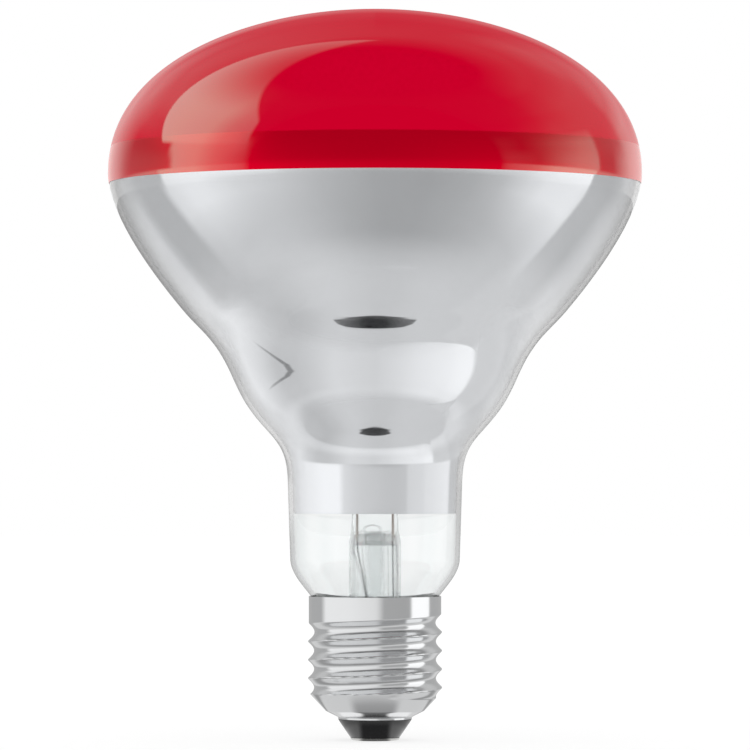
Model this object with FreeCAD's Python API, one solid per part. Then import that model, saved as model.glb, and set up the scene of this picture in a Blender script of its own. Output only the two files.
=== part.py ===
import FreeCAD, Part
import math
import os

from FreeCAD import Vector

# An infrared heat lamp bulb: a blown glass reflector envelope, silvered inside and red on its front,
# on a screw cap for a standard 27 mm lamp holder. Millimetres, with the lamp's axis on Z.
# The centre contact's flat face is at Z = 0, the front is on top, and -Y is the side that faces the viewer.
# Heights run upwards from the contact, and every angle of the glass is measured from straight down.

# Screw shell, rolled from thin sheet
sheet = 0.3
crest_radius = 13.2
root_radius = 12.0
crest_rounding = 0.1
thread_pitch = 3.629
thread_turns = 3.05
runout_turns = 0.3
first_crest_rise = 6.15
collar_radius = 13.04
collar_height = 3.25
foot_radius = 7.25
lip_height = 0.35
ramp_slope = 2.0
cone_start_radius = 9.7
cone_slope = 0.93
notch_width = 0.7
notch_depth = 1.35

# Insulator and centre contact
insulator_height = 4.2
insulator_depth = 3.2
funnel_radius = 3.4
funnel_floor = 1.6
contact_radius = 4.85
contact_thickness = 0.5
eyelet_radius = 1.4
eyelet_bore = 1.0
eyelet_height = 3.6
solder_depth = 1.6
solder_recess = 0.03
side_solder_radius = 1.25

# Glass envelope, from the cap upwards
wall = 0.9
skirt_length = 8.3
seal_length = 1.2
seal_radius = 10.6
rim_gap = 0.09
rim_angle = 36.0
shoulder_height = 7.3
neck_radius = 16.7
neck_length = 15.07
neck_taper = 1.76
throat_height = 9.85
throat_radius = 20.9
throat_angle = 42.3
belt_height = 11.38
belt_radius = 28.3
belt_angle = 23.8
waist_height = 12.29
waist_radius = 37.5
waist_angle = 40.2
bowl_height = 27.35
equator_radius = 52.5
dome_height = 32.1

# Coatings: the mirror is inside the glass, and the red lacquer outside it overlaps the mirror's upper edge
coat = 0.1
mirror_edge_rise = 9.0
mirror_top_rise = 5.2
colour_line_drop = 2.0

# Stem: a flared tube fused to the neck's end, pinched flat at the top round the wires
flare_height = 5.6
flare_angle = 58.0
stem_radius = 5.1
stem_wall = 0.8
stem_tube_length = 12.7
press_height = 7.7
press_width = 9.4
press_depth = 4.8
press_tip_depth = 3.2
exhaust_radius = 2.0
exhaust_bore = 1.3
exhaust_drop = 7.0
exhaust_seat = 2.3
exhaust_hole_width = 3.3
exhaust_hole_height = 1.8
exhaust_hole_rise = 3.1

# Filament mount on the stem
rod_radius = 1.6
rod_length = 20.0
button_radius = 2.7
filament_rise = 34.0
filament_ring = 12.0
filament_radius = 0.6
filament_gap_angle = 56.0
hook_count = 5
hook_radius = 0.25
hook_seat = 1.3
hook_wrap = 215.0

# Wires
wire_spacing = 6.9
inner_lead_radius = 0.4
seal_wire_radius = 0.22
outer_lead_radius = 0.2
weld_rise = 0.9
lead_straight = 6.0
lead_bend = 5.0
lead_over = 1.2
cement_height = 2.4

# Small clearances between separate pieces
seat_gap = 0.06
wire_gap = 0.05

# Places that follow from the sizes
foot_z = insulator_height
first_crest_z = foot_z + first_crest_rise
rim_z = first_crest_z + thread_pitch * (thread_turns + 1) + collar_height
seal_z = rim_z - skirt_length
neck_foot_z = rim_z + shoulder_height
neck_top_z = neck_foot_z + neck_length
throat_z = neck_top_z + throat_height
belt_z = throat_z + belt_height
waist_z = belt_z + waist_height
equator_z = waist_z + bowl_height
apex_z = equator_z + dome_height
tube_top_z = seal_z + flare_height + stem_tube_length
press_top_z = tube_top_z + press_height
weld_z = tube_top_z + weld_rise
exhaust_hole_z = tube_top_z + exhaust_hole_rise
filament_z = press_top_z + filament_rise
wire_x = wire_spacing / 2
origin = Vector(0, 0, 0)
axis = Vector(0, 0, 1)


def direction(angle):
    """Unit step down an outline that leans in by this angle, as radius and height."""
    lean = math.radians(angle)
    return Vector(-math.sin(lean), 0, -math.cos(lean))


def inset_point(radius, height, angle, inset):
    """A point of an outline, moved towards the inside of the glass by inset."""
    step = direction(angle)
    return Vector(radius + step.z * inset, 0, height - step.x * inset)


def curve(start, start_angle, end, end_angle, start_share, end_share):
    """A smooth edge from start down to end; the shares say how far each end keeps its direction."""
    chord = start.distanceToPoint(end)
    bezier = Part.BezierCurve()
    bezier.setPoles([
        start,
        start + direction(start_angle) * chord * start_share,
        end - direction(end_angle) * chord * end_share,
        end,
    ])
    return bezier.toShape()


def line(start, end):
    return Part.LineSegment(start, end).toShape()


def turned(edges):
    """A solid turned about the lamp's axis from a closed outline of edges."""
    face = Part.Face(Part.Wire(Part.__sortEdges__(edges)))
    return face.revolve(origin, axis, 360)


def turned_polygon(points):
    corners = [Vector(radius, 0, height) for radius, height in points]
    return turned([line(a, b) for a, b in zip(corners, corners[1:] + corners[:1])])


def envelope_stations():
    """Radius, height, angle and the curve shares before and after each station, from the front down."""
    neck_top_radius = neck_radius + neck_length * math.tan(math.radians(neck_taper))
    glass_rim_radius = collar_radius - sheet - rim_gap
    return [
        (0, apex_z, -90, 0, 0.386),
        (equator_radius, equator_z, 0, 0.363, 0.278),
        (waist_radius, waist_z, waist_angle, 0.257, 0.300),
        (belt_radius, belt_z, belt_angle, 0.502, 0.423),
        (throat_radius, throat_z, throat_angle, 0.442, 0.389),
        (neck_top_radius, neck_top_z, neck_taper, 0.454, 1 / 3),
        (neck_radius, neck_foot_z, neck_taper, 1 / 3, 0.34),
        (glass_rim_radius, rim_z, rim_angle, 0.30, 0.30),
        (seal_radius, seal_z + seal_length, 0, 0.45, 1 / 3),
        (seal_radius, seal_z, 0, 1 / 3, 0),
    ]


def envelope_edges(inset):
    """The envelope's outline from the front to the seal, moved in from the outer face by inset."""
    edges = []
    stations = envelope_stations()
    for (r0, z0, a0, _, leave), (r1, z1, a1, arrive, _) in zip(stations, stations[1:]):
        start = inset_point(r0, z0, a0, inset)
        end = inset_point(r1, z1, a1, inset)
        edges.append(curve(start, a0, end, a1, leave, arrive))
    return edges


def envelope_layer(outer_inset, inner_inset):
    """A layer of the envelope between two insets, as a hollow shell that is open at the seal."""
    front = [Vector(0, 0, apex_z - outer_inset), Vector(0, 0, apex_z - inner_inset)]
    end = [Vector(seal_radius - outer_inset, 0, seal_z), Vector(seal_radius - inner_inset, 0, seal_z)]
    return turned(envelope_edges(outer_inset) + envelope_edges(inner_inset) + [line(*front), line(*end)])


def envelope_body():
    """The envelope's whole outer form as a filled solid, down to the seal."""
    middle = [Vector(0, 0, apex_z), Vector(0, 0, seal_z)]
    return turned(envelope_edges(0) + [line(*middle), line(middle[1], Vector(seal_radius, 0, seal_z))])


def between(shape, low, high):
    """The part of a shape between two heights."""
    reach = 2 * equator_radius
    return shape.common(Part.makeCylinder(reach, high - low, Vector(0, 0, low)))


def round_wire(points, bend, radius):
    """Round wire along straight runs joined by arcs of radius bend."""
    edges = []
    here = points[0]
    for before, corner, after in zip(points, points[1:], points[2:]):
        back = (before - corner).normalize()
        ahead = (after - corner).normalize()
        half = back.getAngle(ahead) / 2
        setback = bend / math.tan(half)
        middle = (back + ahead).normalize()
        start = corner + back * setback
        end = corner + ahead * setback
        top = corner + middle * (bend / math.sin(half) - bend)
        edges.append(line(here, start))
        edges.append(Part.Arc(start, top, end).toShape())
        here = end
    edges.append(line(here, points[-1]))
    section = Part.Wire(Part.makeCircle(radius, points[0], points[1] - points[0]))
    return Part.Wire(edges).makePipeShell([section], True, True)


def make_glass_envelope():
    return envelope_layer(0, wall)


def make_red_coating():
    return between(envelope_layer(-coat, 0), equator_z - colour_line_drop, apex_z + wall)


def make_mirror_coating():
    low = neck_foot_z + mirror_edge_rise
    return between(envelope_layer(wall, wall + coat), low, equator_z + mirror_top_rise)


def groove_share(turn):
    """How deep the groove is at this turn of the helix: 1 over the thread, fading to 0 at its end."""
    return min(1, max(0, (thread_turns + runout_turns - turn) / runout_turns))


def thread_radius(angle, height):
    """Outer radius of the rolled thread: narrow crests between wide hollows, on a right-hand helix."""
    around = angle / (2 * math.pi)
    pitches = (height - first_crest_z) / thread_pitch - around
    groove = math.floor(pitches)
    phase = pitches - groove
    here = groove_share(groove + around)
    above = groove_share(groove + 1 + around)
    crest = collar_radius + (crest_radius - collar_radius) * (here * (1 - phase) + above * phase)
    wave = math.hypot(math.sin(math.pi * phase), crest_rounding) - crest_rounding
    hollow = wave / (math.hypot(1, crest_rounding) - crest_rounding)
    return crest - (crest_radius - root_radius) * here * hollow


def bottom_radius(height, inset):
    """Radius of the shell's bottom: a short lip round the insulator, a flat ramp and a steeper cone."""
    ramp_z = foot_z + lip_height
    cone_z = ramp_z + (cone_start_radius - foot_radius) / ramp_slope
    ramp = foot_radius + (height - ramp_z) * ramp_slope - inset * math.hypot(1, ramp_slope)
    cone = cone_start_radius + (height - cone_z) * cone_slope - inset * math.hypot(1, cone_slope)
    return max(foot_radius - inset, min(ramp, cone))


def shell_skin(inset):
    """One face of the shell from foot to rim, as a smooth closed surface through a net of points."""
    columns = 32
    rows = round((rim_z - foot_z) / thread_pitch * 10)
    swell = 3 / (2 + math.cos(2 * math.pi / columns))
    net = []
    for column in range(columns):
        angle = 2 * math.pi * column / columns
        strip = []
        for row in range(rows + 1):
            height = foot_z + (rim_z - foot_z) * row / rows
            radius = min(bottom_radius(height, inset), thread_radius(angle, height) - inset) * swell
            strip.append(Vector(radius * math.cos(angle), radius * math.sin(angle), height))
        net.append(strip)
    around_knots = [1] * (columns + 1)
    up_knots = [4] + [1] * (rows - 3) + [4]
    surface = Part.BSplineSurface()
    surface.buildFromPolesMultsKnots(
        net, around_knots, up_knots,
        list(range(columns + 1)), list(range(rows - 1)), True, False, 3, 3)
    return surface.toShape()


def skin_ends(skin):
    """The closed edges at the foot and at the rim of a skin."""
    edges = sorted((e for e in skin.Edges if e.isClosed()), key=lambda e: e.CenterOfMass.z)
    return Part.Wire(edges[0]), Part.Wire(edges[-1])


def filled_skin(inset):
    """Everything inside a skin as one solid, closed flat at the foot and at the rim."""
    skin = shell_skin(inset)
    shell = Part.Shell([skin] + [Part.Face(ring) for ring in skin_ends(skin)])
    shell.sewShape()
    solid = Part.Solid(shell)
    if solid.Volume < 0:
        solid.reverse()
    return solid


def make_screw_shell():
    """Thin rolled shell with its thread, bottom and collar in one, notched at the rim on the far side."""
    notch = Part.makeBox(
        notch_width, 2 * crest_radius, 2 * notch_depth,
        Vector(-notch_width / 2, 0, rim_z - notch_depth))
    return filled_skin(0).cut(filled_skin(sheet)).cut(notch)


def make_insulator():
    """Moulded black glass that fills the shell's bottom and carries the centre contact."""
    top_z = foot_z + insulator_depth
    ramp_z = foot_z + lip_height
    cone_z = ramp_z + (cone_start_radius - foot_radius) / ramp_slope
    bore = eyelet_radius + seat_gap
    inside = sheet + seat_gap
    return turned_polygon([
        (bore, contact_thickness),
        (contact_radius, contact_thickness),
        (foot_radius, foot_z - seat_gap),
        (foot_radius - inside, foot_z - seat_gap),
        (foot_radius - inside, ramp_z + inside),
        (bottom_radius(cone_z + inside, inside), cone_z + inside),
        (bottom_radius(top_z, inside), top_z),
        (funnel_radius, top_z),
        (bore, contact_thickness + funnel_floor),
    ])


def make_centre_contact():
    """Stamped disc with a rounded edge and an eyelet that holds it in the insulator."""
    flat = contact_radius - contact_thickness
    bend = contact_thickness * math.sin(math.pi / 4)
    low = Vector(flat, 0, 0)
    middle = Vector(flat + bend, 0, contact_thickness - bend)
    high = Vector(contact_radius, 0, contact_thickness)
    corners = [
        high,
        Vector(eyelet_radius, 0, contact_thickness),
        Vector(eyelet_radius, 0, eyelet_height),
        Vector(eyelet_bore, 0, eyelet_height),
        Vector(eyelet_bore, 0, 0),
        low,
    ]
    edges = [line(a, b) for a, b in zip(corners, corners[1:])]
    return turned(edges + [Part.Arc(low, middle, high).toShape()])


def slot_wire(width, depth, height):
    """A closed rounded outline across the stem, starting on the +X side."""
    count = 16
    points = []
    for index in range(count):
        angle = 2 * math.pi * index / count
        c = math.cos(angle)
        s = math.sin(angle)
        x = math.copysign(abs(c) ** 0.8, c) * width / 2
        y = math.copysign(abs(s) ** 0.8, s) * depth / 2
        points.append(Vector(x, y, height))
    spline = Part.BSplineCurve()
    spline.interpolate(points, PeriodicFlag=True)
    return Part.Wire(spline.toShape())


def ring_wire(radius, height):
    return Part.Wire(Part.makeCircle(radius, Vector(0, 0, height)))


def stem_body(inset):
    """The flared tube as a filled solid from the seal to the tube's top, moved in by inset."""
    rim = inset_point(seal_radius - wall, seal_z + seal_length, 0, inset)
    foot = Vector(rim.x, 0, seal_z)
    neck = Vector(stem_radius - inset, 0, seal_z + flare_height)
    top = Vector(neck.x, 0, tube_top_z)
    horn = curve(neck, 0, rim, -flare_angle, 0.45, 0.35)
    middle = [Vector(0, 0, tube_top_z), Vector(0, 0, seal_z)]
    edges = [horn, line(foot, rim), line(neck, top), line(top, middle[0])]
    return turned(edges + [line(*middle), line(middle[1], foot)])


def make_stem(passing):
    """Flared tube and flat press as one glass piece, with a tight hole for each piece that passes."""
    press_z = tube_top_z + press_height * 0.35
    press = Part.makeLoft([
        ring_wire(stem_radius, tube_top_z),
        slot_wire(press_width, press_depth, press_z),
        slot_wire(press_width - stem_wall, press_tip_depth, press_top_z),
    ], True, False)
    pocket = Part.makeLoft([
        ring_wire(stem_radius - stem_wall, tube_top_z),
        slot_wire(press_width - 4 * stem_wall, stem_wall, tube_top_z + exhaust_seat),
    ], True, True)
    stem = stem_body(0).fuse(press).cut(stem_body(stem_wall)).cut(pocket)
    channel = Part.makeCylinder(exhaust_bore, exhaust_hole_z - tube_top_z, Vector(0, 0, tube_top_z))
    hole = Part.Face(Part.Wire(Part.Ellipse(
        origin, exhaust_hole_width / 2, exhaust_hole_height / 2).toShape()))
    hole.rotate(origin, Vector(1, 0, 0), 90)
    hole.translate(Vector(0, 0, exhaust_hole_z))
    stem = stem.cut(channel).cut(hole.extrude(Vector(0, -press_width, 0)))
    for piece in passing:
        stem = stem.cut(piece)
    return stem.removeSplitter()


def exhaust_outline(radius, tip_z, top_z):
    """Filled round rod with a drawn-out tip, for the exhaust tube's outside and bore."""
    waist = Vector(radius, 0, tip_z + 2 * exhaust_radius)
    tip = Vector(0, 0, tip_z)
    top = Vector(radius, 0, top_z)
    middle = Vector(0, 0, top_z)
    point = curve(waist, 0, tip, 70, 0.5, 0.3)
    return turned([point, line(waist, top), line(top, middle), line(middle, tip)])


def make_exhaust_tube():
    """Thin tube through which the bulb was emptied and filled, melted shut at its lower end."""
    tip_z = seal_z - exhaust_drop
    top_z = tube_top_z + exhaust_seat
    bore_tip_z = tip_z + exhaust_radius - exhaust_bore + wall
    return exhaust_outline(exhaust_radius, tip_z, top_z).cut(
        exhaust_outline(exhaust_bore, bore_tip_z, top_z))


def make_support_rod(hooks):
    """Glass rod that stands on the press, with a melted button that grips the hooks."""
    button_z = press_top_z + rod_length
    joint = math.sqrt(button_radius ** 2 - rod_radius ** 2)
    rod = Part.makeCylinder(rod_radius, rod_length - joint / 2, Vector(0, 0, press_top_z))
    button = Part.makeSphere(button_radius, Vector(0, 0, button_z))
    body = rod.fuse(button)
    for hook in hooks:
        body = body.cut(hook)
    return body


def make_hook(azimuth):
    """Thin wire from the button out to the filament, with its end wrapped loosely round it."""
    button_z = press_top_z + rod_length
    bend = filament_radius + wire_gap + hook_radius
    start = Vector(hook_seat, 0, button_z)
    centre = Vector(filament_ring, 0, filament_z)
    to_start = start - centre
    spread = math.acos(bend / to_start.Length)
    heading = math.atan2(to_start.z, to_start.x)

    def on_loop(angle):
        return centre + Vector(math.cos(angle), 0, math.sin(angle)) * bend

    first = heading + spread
    wrap = math.radians(hook_wrap)
    loop = Part.Arc(on_loop(first), on_loop(first + wrap / 2), on_loop(first + wrap)).toShape()
    run = line(start, on_loop(first))
    section = Part.Wire(Part.makeCircle(hook_radius, start, on_loop(first) - start))
    hook = Part.Wire([run, loop]).makePipeShell([section], True, True)
    hook.rotate(origin, axis, azimuth)
    return hook


def filament_angles():
    """First and last azimuth of the filament, whose gap faces the viewer."""
    half = filament_gap_angle / 2
    return -90 + half, 270 - half


def make_filament():
    """The coiled tungsten wire as a plain round bar of the coil's own diameter."""
    first, last = filament_angles()
    ring = Part.Face(Part.Wire(Part.makeCircle(
        filament_radius, Vector(filament_ring, 0, filament_z), Vector(0, 1, 0))))
    bar = ring.revolve(origin, axis, last - first)
    bar.rotate(origin, axis, first)
    return bar


def make_inner_lead(side):
    """Nickel wire from the press to the filament's end; side is 1 on +X and -1 on -X."""
    first = filament_angles()[0]
    beyond = math.degrees((inner_lead_radius + wire_gap) / filament_ring)
    place = math.radians(first - beyond)
    end_x = side * filament_ring * math.cos(place)
    end_y = filament_ring * math.sin(place)
    return round_wire([
        Vector(side * wire_x, 0, press_top_z),
        Vector(side * wire_x, 0, press_top_z + lead_straight),
        Vector(end_x, end_y, filament_z - lead_straight),
        Vector(end_x, end_y, filament_z + lead_over),
    ], lead_bend, inner_lead_radius)


def make_seal_wire(side):
    """Copper-clad wire sealed in the press between the inner lead and the outer one."""
    return Part.makeCylinder(seal_wire_radius, press_top_z - weld_z, Vector(side * wire_x, 0, weld_z))


def make_centre_lead():
    """Wire from the press down beside the exhaust tube, through the eyelet to the centre contact."""
    clear = exhaust_radius + outer_lead_radius
    tip_z = seal_z - exhaust_drop
    return round_wire([
        Vector(-wire_x, 0, weld_z),
        Vector(-wire_x, 0, weld_z - 2 * weld_rise),
        Vector(-0.45 * wire_x, -1.2 * clear, rim_z),
        Vector(-0.40 * wire_x, -1.3 * clear, tip_z + 1),
        Vector(0, 0, foot_z + insulator_depth),
        Vector(0, 0, 2 * solder_recess),
    ], 2.0, outer_lead_radius)


def side_wire_y():
    """Distance from the axis at which the side lead climbs between the glass and the thread."""
    return (seal_radius + root_radius - sheet) / 2


def exit_z():
    return rim_z - notch_depth + outer_lead_radius + wire_gap


def make_side_lead():
    """Wire from the press out under the glass seal, up beside it and out through the rim's notch."""
    low_z = seal_z - 8 * outer_lead_radius
    gap_y = collar_radius - sheet - 2.5 * outer_lead_radius
    return round_wire([
        Vector(wire_x, 0, weld_z),
        Vector(wire_x, 0, weld_z - weld_rise),
        Vector(1.06 * wire_x, 0, seal_z + flare_height + exhaust_radius),
        Vector(0.8 * wire_x, 0.45 * seal_radius, low_z),
        Vector(0, side_wire_y(), low_z),
        Vector(0, side_wire_y(), rim_z - skirt_length / 2),
        Vector(0, gap_y, exit_z() - 4 * outer_lead_radius),
        Vector(0, gap_y, exit_z()),
        Vector(0, collar_radius + 3 * outer_lead_radius, exit_z()),
    ], 1.8 * outer_lead_radius, outer_lead_radius)


def make_capping_cement(side_lead):
    """Cement that fills the collar between glass and shell and locks the cap on."""
    high = rim_z - notch_depth
    room = between(filled_skin(sheet), high - cement_height, high)
    return room.cut(envelope_body()).cut(side_lead)


def make_centre_solder(centre_lead):
    fill = Part.makeCylinder(eyelet_bore, solder_depth, Vector(0, 0, solder_recess))
    return fill.cut(centre_lead)


def make_side_solder(side_lead):
    """Drop of solder on the collar where the side lead comes out, on the far side."""
    drop = Part.makeSphere(side_solder_radius, Vector(0, collar_radius, rim_z - side_solder_radius - seat_gap))
    collar = Part.makeCylinder(collar_radius + seat_gap / 2, 4 * side_solder_radius,
                               Vector(0, 0, rim_z - 3 * side_solder_radius))
    return drop.cut(collar).cut(side_lead)


def make_parts():
    """Every separate piece of the lamp by its name."""
    first, last = filament_angles()
    hooks = [
        make_hook(first + (last - first) * (index + 1) / (hook_count + 1))
        for index in range(hook_count)
    ]
    seal_wires = [make_seal_wire(side) for side in (-1, 1)]
    centre_lead = make_centre_lead()
    side_lead = make_side_lead()
    exhaust_tube = make_exhaust_tube()
    exhaust_seat_plug = Part.makeCylinder(
        exhaust_radius, exhaust_seat + stem_wall, Vector(0, 0, tube_top_z - stem_wall))
    parts = {
        "glass_envelope": make_glass_envelope(),
        "red_coating": make_red_coating(),
        "mirror_coating": make_mirror_coating(),
        "stem": make_stem([exhaust_seat_plug, centre_lead, side_lead] + seal_wires),
        "exhaust_tube": exhaust_tube,
        "support_rod": make_support_rod(hooks),
        "filament": make_filament(),
        "inner_lead_left": make_inner_lead(-1),
        "inner_lead_right": make_inner_lead(1),
        "seal_wire_left": seal_wires[0],
        "seal_wire_right": seal_wires[1],
        "centre_lead": centre_lead,
        "side_lead": side_lead,
        "capping_cement": make_capping_cement(side_lead),
        "screw_shell": make_screw_shell(),
        "insulator": make_insulator(),
        "centre_contact": make_centre_contact(),
        "centre_solder": make_centre_solder(centre_lead),
        "side_solder": make_side_solder(side_lead),
    }
    for index, hook in enumerate(hooks):
        parts["support_hook_%d" % (index + 1)] = hook
    return parts


os.makedirs("parts", exist_ok=True)
for name, shape in make_parts().items():
    shape.exportStep("parts/" + name + ".step")
    print(name, len(shape.Solids), shape.isValid(), round(shape.Volume, 2), "cubic mm")
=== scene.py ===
import math

import bpy
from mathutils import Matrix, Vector


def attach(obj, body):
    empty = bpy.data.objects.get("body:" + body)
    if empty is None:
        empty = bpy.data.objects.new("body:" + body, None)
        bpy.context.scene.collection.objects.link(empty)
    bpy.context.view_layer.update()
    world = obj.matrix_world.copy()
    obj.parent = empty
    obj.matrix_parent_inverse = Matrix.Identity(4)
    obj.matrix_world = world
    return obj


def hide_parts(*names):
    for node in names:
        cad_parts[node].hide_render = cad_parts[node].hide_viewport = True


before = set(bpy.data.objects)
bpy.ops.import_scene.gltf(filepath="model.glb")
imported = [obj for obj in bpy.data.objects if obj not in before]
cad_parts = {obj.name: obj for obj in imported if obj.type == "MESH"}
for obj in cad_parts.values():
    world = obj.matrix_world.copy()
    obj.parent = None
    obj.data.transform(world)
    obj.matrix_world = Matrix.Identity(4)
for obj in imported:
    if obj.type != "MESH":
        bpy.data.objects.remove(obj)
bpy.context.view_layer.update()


# Clear glass envelope: one blown bulb of soda-lime glass, spun while hot, so its outline is one
# smooth curve from the domed front to the neck, and its lower end is melted onto the stem inside.
wall = 0.0009
seal_z = 0.020007
rim_z = 0.028307
neck_foot_z = 0.035607
equator_z = 0.111547
equator_radius = 0.0525
apex_z = 0.143647
neck_radius = 0.0167
outline_fineness = 16
glass_turn_steps = 288
merge_distance = 0.000002
sharp_angle = 35
glass_white = "FFFFFF"
neck_clear = "FCFDFD"
neck_grey_tint = "F8FAFA"

# Radius, height, how far the outline leans in (degrees from straight down), and how far it
# keeps that lean before and after each place, as a share of the way to the next one.
outline_places = [
    (0, apex_z, -90, 0, 0.386),
    (equator_radius, equator_z, 0, 0.363, 0.278),
    (0.0375, 0.084197, 40.2, 0.257, 0.300),
    (0.0283, 0.071907, 23.8, 0.502, 0.423),
    (0.0209, 0.060527, 42.3, 0.442, 0.389),
    (0.017163, 0.050677, 1.76, 0.454, 1 / 3),
    (neck_radius, neck_foot_z, 1.76, 1 / 3, 0.34),
    (0.01265, rim_z, 36, 0.30, 0.30),
    (0.0106, seal_z + 0.0012, 0, 0.45, 1 / 3),
    (0.0106, seal_z, 0, 1 / 3, 0),
]


def linear(code):
    """An sRGB hex colour as the linear colour that the nodes take."""
    parts = [int(code[i:i + 2], 16) / 255 for i in (0, 2, 4)]
    return tuple(p / 12.92 if p <= 0.04045 else ((p + 0.055) / 1.055) ** 2.4 for p in parts) + (1.0,)


def add_node(tree, kind, settings=None, values=None, links=None):
    """Adds a node with its settings, its socket values and the sockets that feed it."""
    node = tree.nodes.new(kind)
    for name, value in (settings or {}).items():
        setattr(node, name, value)
    for name, value in (values or {}).items():
        node.inputs[name].default_value = value
    for name, source in (links or {}).items():
        tree.links.new(source, node.inputs[name])
    return node


def new_material(name):
    """An empty node material and its tree."""
    material = bpy.data.materials.new(name)
    material.use_nodes = True
    material.node_tree.nodes.clear()
    return material, material.node_tree


def only(piece):
    """Makes one object the only selected one."""
    bpy.ops.object.select_all(action="DESELECT")
    piece.select_set(True)
    bpy.context.view_layer.objects.active = piece


def draw_outline(name, places, fineness):
    """Draws an outline in the XZ plane as a curve through its places and makes it a line of edges."""
    bpy.ops.object.select_all(action="DESELECT")
    bpy.ops.curve.primitive_bezier_curve_add(location=(0, 0, 0))
    piece = bpy.context.object
    piece.name = name
    spline = piece.data.splines[0]
    spline.bezier_points.add(len(places) - 2)
    spline.resolution_u = fineness
    piece.data.resolution_u = fineness
    ends = [Vector((radius, 0, height)) for radius, height, *_ in places]
    for i, (point, (_, _, lean, before, after)) in enumerate(zip(spline.bezier_points, places)):
        down = Vector((-math.sin(math.radians(lean)), 0, -math.cos(math.radians(lean))))
        last = (ends[i] - ends[max(i - 1, 0)]).length
        following = (ends[min(i + 1, len(ends) - 1)] - ends[i]).length
        point.handle_left_type = "FREE"
        point.handle_right_type = "FREE"
        point.co = ends[i]
        point.handle_left = ends[i] - down * last * before
        point.handle_right = ends[i] + down * following * after
    only(piece)
    bpy.ops.object.convert(target="MESH")
    return piece


def turn(piece, steps):
    """Spins an outline all the way round the lamp's axis and closes the seam and the pole."""
    only(piece)
    bpy.ops.object.mode_set(mode="EDIT")
    bpy.ops.mesh.select_all(action="SELECT")
    bpy.ops.mesh.spin(steps=steps, angle=2 * math.pi, center=(0, 0, 0), axis=(0, 0, 1))
    bpy.ops.mesh.select_all(action="SELECT")
    bpy.ops.mesh.remove_doubles(threshold=merge_distance)
    bpy.ops.mesh.normals_make_consistent(inside=False)
    bpy.ops.object.mode_set(mode="OBJECT")
    return piece


def give_wall(piece, thickness, side=-1):
    """Gives a skin its wall, inwards with side -1 and outwards with side 1."""
    only(piece)
    bpy.ops.object.modifier_add(type="SOLIDIFY")
    thicken = piece.modifiers[-1]
    thicken.thickness = thickness
    thicken.offset = side
    thicken.use_even_offset = True
    bpy.ops.object.modifier_apply(modifier=thicken.name)


def finish_piece(piece, material, slot_name, *nodes):
    """Smooths a piece, gives it its material, hangs it on the root body and hides the CAD nodes that it
    stands for.
    """
    only(piece)
    bpy.ops.object.shade_smooth_by_angle(angle=math.radians(sharp_angle))
    piece.data.materials.clear()
    piece.data.materials.append(material)
    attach(piece, "root")
    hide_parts(*nodes)


# Blown soda-lime glass, fire polished: smooth and colourless, with a bright edge. Below the mirror the
# neck is tinted faintly grey, in soft upright streaks.
in_colour = {"data_type": "RGBA"}
clear_glass, tree = new_material("clear soda-lime glass")
coords = add_node(tree, "ShaderNodeTexCoord")
drawn = add_node(tree, "ShaderNodeMapping", values={"Scale": (170, 170, 6)}, links={
    "Vector": coords.outputs["Object"]})
streaks = add_node(tree, "ShaderNodeTexNoise", values={"Scale": 1.0, "Detail": 1}, links={
    "Vector": drawn.outputs["Vector"]})
streaked = add_node(tree, "ShaderNodeMapRange", values={"From Min": 0.35, "From Max": 0.65}, links={
    "Value": streaks.outputs[0]})
grey_streak_tint = add_node(tree, "ShaderNodeMix", in_colour, values={
    6: linear(neck_grey_tint), 7: linear(neck_clear)}, links={0: streaked.outputs["Result"]})
place = add_node(tree, "ShaderNodeSeparateXYZ", links={"Vector": coords.outputs["Object"]})
below_mirror = add_node(tree, "ShaderNodeMapRange", values={
    "From Min": neck_foot_z + 0.0094, "From Max": neck_foot_z + 0.0084}, links={"Value": place.outputs["Z"]})
tint = add_node(tree, "ShaderNodeMix", in_colour, values={6: linear(glass_white)}, links={
    0: below_mirror.outputs["Result"], 7: grey_streak_tint.outputs[2]})
body = add_node(tree, "ShaderNodeBsdfPrincipled", values={
    "Roughness": 0.0, "IOR": 1.5, "Transmission Weight": 1.0}, links={"Base Color": tint.outputs[2]})
let_through = add_node(tree, "ShaderNodeBsdfTransparent", values={"Color": linear("F6F8F8")})
rays = add_node(tree, "ShaderNodeLightPath")
mix = add_node(tree, "ShaderNodeMixShader", links={
    0: rays.outputs["Is Shadow Ray"], 1: body.outputs["BSDF"], 2: let_through.outputs["BSDF"]})
add_node(tree, "ShaderNodeOutputMaterial", links={"Surface": mix.outputs["Shader"]})

glass = turn(draw_outline("glass_bulb", outline_places, outline_fineness), glass_turn_steps)
give_wall(glass, wall)
finish_piece(glass, clear_glass, "clear_glass", "glass_envelope")


# Mirror: a film of silver evaporated onto the inside of the glass, from the lower neck to a little
# above the red line. It shows bright through the glass and ends in a clean edge at both ends.
mirror_low_z = neck_foot_z + 0.009
mirror_high_z = equator_z + 0.0052
mirror_gap = 0.00002
mirror_film = 0.00006
silver = "F8FAFD"


def keep_between(piece, low, high):
    """Cuts an open skin at two heights and keeps what lies between them."""
    only(piece)
    bpy.ops.object.mode_set(mode="EDIT")
    for height, below in ((low, True), (high, False)):
        bpy.ops.mesh.select_all(action="SELECT")
        bpy.ops.mesh.bisect(
            plane_co=(0, 0, height), plane_no=(0, 0, 1), clear_inner=below, clear_outer=not below)
    bpy.ops.object.mode_set(mode="OBJECT")


def push_out(piece, distance):
    """Moves a skin along its normals, outwards if the distance is positive."""
    only(piece)
    bpy.ops.object.modifier_add(type="DISPLACE")
    push = piece.modifiers[-1]
    push.strength = distance
    push.mid_level = 0
    bpy.ops.object.modifier_apply(modifier=push.name)


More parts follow.
